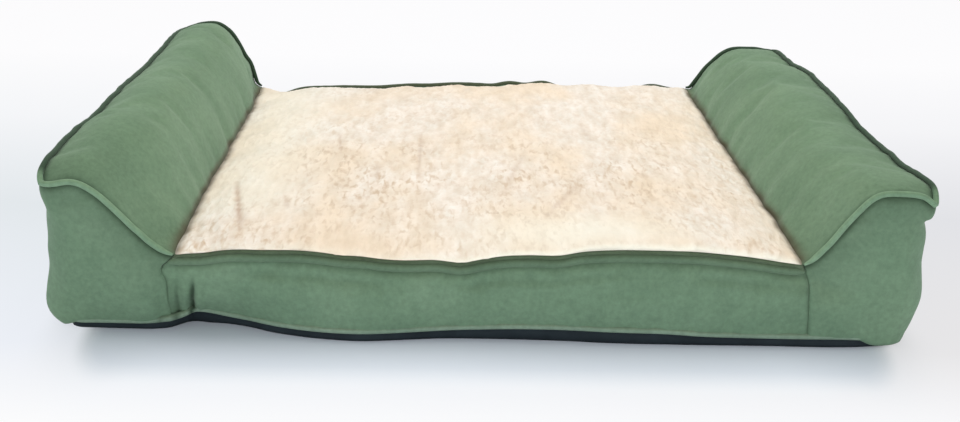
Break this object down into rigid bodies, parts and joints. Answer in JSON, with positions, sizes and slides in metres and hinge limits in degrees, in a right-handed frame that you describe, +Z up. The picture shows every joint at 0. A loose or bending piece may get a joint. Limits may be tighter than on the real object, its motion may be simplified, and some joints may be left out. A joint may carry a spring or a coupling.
{
  "type": "dog sofa bed",
  "caption": "Low rectangular pet bed: a fleece-topped mattress between two raised stuffed side bolsters, in a piped suede cover with a zip along its rear border.",
  "frame": {"origin": "on the floor under the middle of the bed's bounding box", "axes": "+X along the bed's width from the left bolster to the right one seen from the front, +Z up; the open front faces -Y and the zip is at the rear, +Y"},
  "size_m": [1.036, 0.769, 0.2179],
  "materials": {
    "suede": "brushed suede-look microfibre",
    "piping": "suede-covered piping cord",
    "fleece": "short curly fleece pile",
    "base_fabric": "dark woven base cloth",
    "filling": "loose white polyester fibre",
    "foam": "open-cell upholstery foam",
    "zip_tape": "woven zip tape",
    "zip_teeth": "moulded plastic",
    "zip_metal": "satin nickel"
  },
  "bodies": {
    "bed": {"base_panel": "base_fabric", "base_piping": "piping", "sleeping_surface": "fleece", "fibre_topper": "filling", "support_foam": "foam", "front_border": "suede", "front_piping": "piping", "rear_border_upper": "suede", "rear_border_lower": "suede", "rear_piping": "piping", "left_bolster_cover": "suede", "left_side_panel": "suede", "left_front_end_panel": "suede", "left_rear_end_panel": "suede", "left_bolster_piping": "piping", "left_bolster_filling": "filling", "left_partition": "suede", "right_bolster_cover": "suede", "right_side_panel": "suede", "right_front_end_panel": "suede", "right_rear_end_panel": "suede", "right_bolster_piping": "piping", "right_bolster_filling": "filling", "right_partition": "suede", "zip_upper_tape": "zip_tape", "zip_lower_tape": "zip_tape", "zip_upper_teeth": "zip_teeth", "zip_lower_teeth": "zip_teeth", "zip_top_stops": "zip_metal", "zip_bottom_stop": "zip_metal"},
    "zip_slider": {"zip_slider": "zip_metal"},
    "zip_pull": {"zip_pull": "zip_metal"}
  },
  "joints": [
    {"name": "zip_travel", "type": "slide", "parent": "bed", "child": "zip_slider", "axis": [-1, 0, 0], "range_m": [0, 0.512], "deforming": ["zip_upper_teeth", "zip_lower_teeth"]},
    {"name": "zip_pull_swing", "type": "hinge", "parent": "zip_slider", "child": "zip_pull", "pos_m": [0.26, 0.37938, 0.0579], "axis": [0, 0, -1], "range_deg": [0, 180]}
  ]
}
